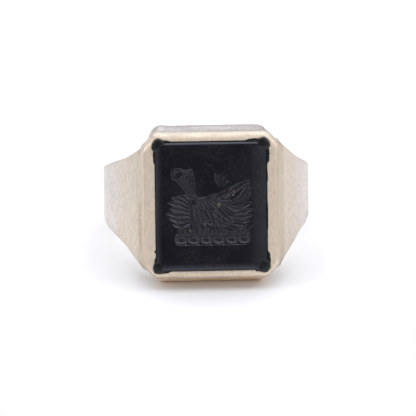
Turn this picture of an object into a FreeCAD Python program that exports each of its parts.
"""Signet ring: a pale gold shank and rectangular head that hold a bevelled onyx tablet.

Frame, in millimetres: the origin is the centre of the finger hole, +Z runs along the finger,
-Y points out of the ring's face and +X to the right of someone who looks at the face.
Each piece goes to parts/NODE.step.
"""

import math
import os

import FreeCAD
import Part

# ---- driving dimensions ------------------------------------------------------------------------
FINGER_RADIUS = 9.7
FACE_DISTANCE = 12.6  # finger hole's centre to the face of the head's rim
MARGIN = 1.0  # how far cutting tools run past what they cut

# shank and shoulders
SIDE_RADIUS = 11.4  # outside of the shank at its sides
BACK_RADIUS = 11.1  # outside of the shank at its back
SHOULDER_FRONT = -11.35  # where the shoulder's slope starts on the head's side wall
SHANK_HALF_WIDTHS = (  # place along Y and half width there, from the head round to the back
    (-12.0, 7.5),
    (-10.9, 6.88),
    (-9.0, 6.0),
    (-6.6, 5.02),
    (-3.6, 4.05),
    (0.0, 3.2),
    (5.5, 2.55),
    (12.0, 2.15),
)
SHANK_EDGE_ROUND = 0.5
HOLE_EDGE_ROUND = 0.2
SOLDER_THICKNESS = 0.1

# head: half width, half height and corner cut at its face, its girdle and its back
FACE_HALF = (7.42, 8.05)
FACE_CUT = 1.4
GIRDLE_Y = -9.9
GIRDLE_HALF = (7.72, 8.72)
GIRDLE_CUT = 2.27
BACK_Y = -5.4
BACK_HALF = (7.72, 4.6)
BACK_CUT = 2.2
CUT_ROUND = 1.0  # where a cut corner meets the straight sides
FACE_CUT_ROUND = 0.5
RIM_ROUND = 0.9  # where the face rolls over at its top and bottom
CORNER_RIM_ROUND = 0.75  # at its cut corners
SIDE_RIM_ROUND = 0.22  # beside the shoulders
RIM_STEPS = 8
GIRDLE_ROUND = 1.2

# stone and its setting
STONE_SIZE = (12.0, 14.0)
STONE_CORNER = 0.3
STONE_GAP = 0.06  # clearance between the stone and its pocket
EDGE_DEPTH = 0.1  # the stone's edge below the rim
SEAT_DEPTH = 1.75  # the bearer's ledge below the rim
CEMENT_THICKNESS = 0.12
BEVEL_WIDTH = 1.15
BEVEL_TILT = math.radians(42)  # slope at the stone's edge, which rolls to level at the table
BEVEL_STEPS = 5
BEARER_DEPTH = 1.45
LEDGE_WIDTH = 1.1
DRILL_RADIUS = 0.66
DRILL_INSET = 0.4  # drill's centre from each side of the pocket's corner

Vector = FreeCAD.Vector
UP = Vector(0, 0, 1)
INWARD = Vector(0, 1, 0)
FACE_Y = -FACE_DISTANCE
SEAT_Y = FACE_Y + SEAT_DEPTH
BEARER_BACK_Y = SEAT_Y + BEARER_DEPTH
STONE_EDGE_Y = FACE_Y + EDGE_DEPTH
STONE_BACK_Y = SEAT_Y - CEMENT_THICKNESS
TALLEST = 2 * GIRDLE_HALF[1]
SIDES = {"left": -1, "right": 1}
AROUND = ((1, 1), (-1, 1), (-1, -1), (1, -1))  # signs of X and Z at a rectangle's corners, in turn
CORNERS = {"upper_left": (-1, 1), "upper_right": (1, 1), "lower_left": (-1, -1), "lower_right": (1, -1)}


# ---- small helpers -----------------------------------------------------------------------------
def rounded_polygon(points, radius):
    """A closed wire through the points, with each corner rounded."""
    arcs = []
    for before, corner, after in zip(points[-1:] + points[:-1], points, points[1:] + points[:1]):
        back, ahead = (before - corner).normalize(), (after - corner).normalize()
        half_angle = back.getAngle(ahead) / 2
        reach = radius / math.tan(half_angle)
        centre = corner + (back + ahead).normalize() * (radius / math.sin(half_angle))
        middle = centre + (corner - centre).normalize() * radius
        arcs.append(Part.Arc(corner + back * reach, middle, corner + ahead * reach))
    outline = []
    for arc, following in zip(arcs, arcs[1:] + arcs[:1]):
        straight = Part.LineSegment(arc.EndPoint, following.StartPoint)
        outline += [arc.toShape(), straight.toShape()]
    return Part.Wire(outline)


def rounded_rectangle(half, radius, y):
    hx, hz = half
    return rounded_polygon([Vector(sx * hx, y, sz * hz) for sx, sz in AROUND], radius)


def cut_corner_rectangle(half, cut, radius, y):
    """A rectangle in the plane Y = y whose corners are cut off at 45 degrees, then rounded."""
    hx, hz = half
    points = []
    for sx, sz in AROUND:
        along_top = Vector(sx * (hx - cut), y, sz * hz)
        along_side = Vector(sx * hx, y, sz * (hz - cut))
        points += [along_side, along_top] if sx == sz else [along_top, along_side]
    return rounded_polygon(points, radius)


def block(half, y_from, y_to):
    """A rectangular block centred on the Y axis."""
    hx, hz = half
    return Part.makeBox(2 * hx, y_to - y_from, 2 * hz, Vector(-hx, y_from, -hz))


def finger_hole():
    reach = TALLEST + 2 * MARGIN
    return Part.makeCylinder(FINGER_RADIUS, reach, Vector(0, 0, -reach / 2), UP)


def round_hole_edges(solid):
    """Rounds the two rims of the finger hole, so that the ring slides on."""
    rims = []
    for edge in solid.Edges:
        points = [edge.valueAt(p) for p in (edge.FirstParameter, edge.LastParameter)]
        points.append(edge.valueAt(sum(edge.ParameterRange) / 2))
        on_hole = all(abs(math.hypot(p.x, p.y) - FINGER_RADIUS) < 0.01 for p in points)
        if on_hole and edge.BoundBox.ZMin * edge.BoundBox.ZMax > 0:
            rims.append(edge)
    return solid.makeFillet(HOLE_EDGE_ROUND, rims)


def edges_at(solid, y):
    """The edges that lie in the plane Y = y."""
    boxes = [(edge, edge.BoundBox) for edge in solid.Edges]
    return [edge for edge, box in boxes if abs(box.YMin - y) < 0.01 and abs(box.YMax - y) < 0.01]


def largest(shape):
    return max(shape.Solids, key=lambda solid: solid.Volume)


# ---- shank and shoulders -----------------------------------------------------------------------
def shank_plan():
    """The ring's outer outline seen along the finger, as a face in the plane Z = 0."""
    share = (SHOULDER_FRONT - FACE_Y) / (GIRDLE_Y - FACE_Y)
    front = Vector(FACE_HALF[0] + share * (GIRDLE_HALF[0] - FACE_HALF[0]), SHOULDER_FRONT, 0)
    tangent = math.atan2(front.y, front.x) + math.acos(SIDE_RADIUS / front.Length)

    def on_side(angle):
        return Vector(SIDE_RADIUS * math.cos(angle), SIDE_RADIUS * math.sin(angle), 0)

    def mirrored(point):
        return Vector(-point.x, point.y, point.z)

    touch, middle, side = on_side(tangent), on_side(tangent / 2), on_side(0)
    back_oval = Part.Ellipse(Vector(0, 0, 0), SIDE_RADIUS, BACK_RADIUS)
    outline = [
        Part.LineSegment(front, touch).toShape(),
        Part.Arc(touch, middle, side).toShape(),
        Part.Edge(back_oval, 0, math.pi),
        Part.Arc(mirrored(side), mirrored(middle), mirrored(touch)).toShape(),
        Part.LineSegment(mirrored(touch), mirrored(front)).toShape(),
        Part.LineSegment(mirrored(front), front).toShape(),
    ]
    return Part.Face(Part.Wire(outline))


def shank_side():
    """The shank's outline seen along X, as a face in the plane X = 0."""
    curves = []
    for sign in (1, -1):
        curve = Part.BSplineCurve()
        curve.interpolate([Vector(0, y, sign * half) for y, half in SHANK_HALF_WIDTHS])
        curves.append(curve)
    upper, lower = curves
    front = Part.LineSegment(lower.StartPoint, upper.StartPoint)
    back = Part.LineSegment(upper.EndPoint, lower.EndPoint)
    return Part.Face(Part.Wire([line.toShape() for line in (front, upper, back, lower)]))


def full_shank():
    """Shank and shoulders, still joined across the place where the head goes."""
    plan = shank_plan().translated(Vector(0, 0, -TALLEST / 2)).extrude(Vector(0, 0, TALLEST))
    reach = SIDE_RADIUS + MARGIN
    side = shank_side().translated(Vector(-reach, 0, 0)).extrude(Vector(2 * reach, 0, 0))
    solid = plan.common(side)
    long_edges = []
    for edge in solid.Edges:
        box = edge.BoundBox
        if box.ZMin * box.ZMax > 0 and box.YMax > SHOULDER_FRONT + 0.01:
            long_edges.append(edge)
    return round_hole_edges(solid.makeFillet(SHANK_EDGE_ROUND, long_edges).cut(finger_hole()))


# ---- head --------------------------------------------------------------------------------------
def rolled_in(radius, depth):
    """How far a rounded rim has drawn in from its wall, at a depth below the face."""
    left = max(radius - depth, 0)
    return radius - math.sqrt(radius**2 - left**2)


def head_outside(extra_width=0.0):
    """The head's outer block: a rolled rim, a wall that widens to the girdle, then a narrower back."""
    def outline(half, cut, radius, y):
        return cut_corner_rectangle((half[0] + extra_width, half[1]), cut, radius, y)

    rim = []
    for step in range(RIM_STEPS + 1):
        share = step / RIM_STEPS
        depth = RIM_ROUND * (1 - math.cos(share * math.pi / 2))
        in_x = rolled_in(SIDE_RIM_ROUND, depth)
        in_z = rolled_in(RIM_ROUND, depth)
        in_corner = rolled_in(CORNER_RIM_ROUND, depth)
        half = (FACE_HALF[0] - in_x, FACE_HALF[1] - in_z)
        cut = FACE_CUT - in_x - in_z + math.sqrt(2) * in_corner
        radius = FACE_CUT_ROUND + share * (CUT_ROUND - FACE_CUT_ROUND)
        rim.append(outline(half, cut, radius, FACE_Y + depth))
    girdle = outline(GIRDLE_HALF, GIRDLE_CUT, CUT_ROUND, GIRDLE_Y)
    back = outline(BACK_HALF, BACK_CUT, CUT_ROUND, BACK_Y)
    front_part = Part.makeLoft(rim + [girdle], True, True)
    back_part = Part.makeLoft([girdle, back], True, True)
    whole = front_part.fuse(back_part).removeSplitter()
    return whole.makeFillet(GIRDLE_ROUND, edges_at(whole, GIRDLE_Y))


def pocket_half(inset=0.0):
    return tuple(size / 2 + STONE_GAP - inset for size in STONE_SIZE)


def corner_drill(name, y_from, y_to):
    """One of the four drilled corners of the stone's pocket, as a cylinder along Y."""
    hx, hz = pocket_half(DRILL_INSET)
    sx, sz = CORNERS[name]
    return Part.makeCylinder(DRILL_RADIUS, y_to - y_from, Vector(sx * hx, y_from, sz * hz), INWARD)


def back_window():
    """The opening behind the stone, through the bearer and the head into the finger hole."""
    return block(pocket_half(LEDGE_WIDTH), FACE_Y, 0)


def head_frame(outside):
    """The gold surround of the stone, down to the finger."""
    frame = round_hole_edges(outside.cut(finger_hole()))
    frame = frame.cut(block(pocket_half(), FACE_Y - MARGIN, BEARER_BACK_Y)).cut(back_window())
    for name in CORNERS:
        frame = frame.cut(corner_drill(name, FACE_Y - MARGIN, SEAT_Y))
    return largest(frame)


def stone_bearer():
    """The rectangular strip let into the pocket, whose ledge the stone sits on."""
    strip = block(pocket_half(), SEAT_Y, BEARER_BACK_Y)
    return largest(strip.cut(back_window()).cut(finger_hole()))


# ---- stone and cement --------------------------------------------------------------------------
def onyx_tablet():
    """The stone: straight sides, and a bevel that rolls over into the flat table."""
    def outline(inset, y):
        half = tuple(size / 2 - inset for size in STONE_SIZE)
        return rounded_rectangle(half, STONE_CORNER, y)

    radius = BEVEL_WIDTH / math.sin(BEVEL_TILT)
    sections = [outline(0, STONE_BACK_Y)]
    for step in range(BEVEL_STEPS + 1):
        slope = BEVEL_TILT * (1 - step / BEVEL_STEPS)
        inset = BEVEL_WIDTH - radius * math.sin(slope)
        rise = radius * (math.cos(slope) - math.cos(BEVEL_TILT))
        sections.append(outline(inset, STONE_EDGE_Y - rise))
    return largest(Part.makeLoft(sections, True, True))


def cement_bed():
    """The black cement between the stone's back and the bearer's ledge."""
    half = tuple(size / 2 for size in STONE_SIZE)
    bed = block(half, STONE_BACK_Y, SEAT_Y)
    return largest(bed.cut(back_window()))


# ---- assembly ----------------------------------------------------------------------------------
def make_parts():
    outside = head_outside()
    outside_and_solder = head_outside(SOLDER_THICKNESS)
    shank = full_shank()
    seams = shank.common(outside_and_solder).cut(outside)
    parts = {
        "shank": largest(shank.cut(outside_and_solder)),
        "head_frame": head_frame(outside),
        "stone_bearer": stone_bearer(),
        "onyx_tablet": onyx_tablet(),
        "cement_bed": cement_bed(),
    }
    for name, sign in SIDES.items():
        side = block((SIDE_RADIUS, TALLEST), FACE_Y, 0).translated(Vector(sign * SIDE_RADIUS, 0, 0))
        parts["shoulder_solder_" + name] = largest(seams.common(side))
    for name in CORNERS:
        drilled = corner_drill(name, STONE_EDGE_Y, SEAT_Y)
        filled = drilled.cut(parts["onyx_tablet"]).cut(parts["cement_bed"])
        parts["corner_cement_" + name] = largest(filled)
    return parts


def main():
    os.makedirs("parts", exist_ok=True)
    for name, shape in make_parts().items():
        print(name, "valid", shape.isValid(), "volume", round(shape.Volume, 2))
        shape.exportStep("parts/" + name + ".step")


main()
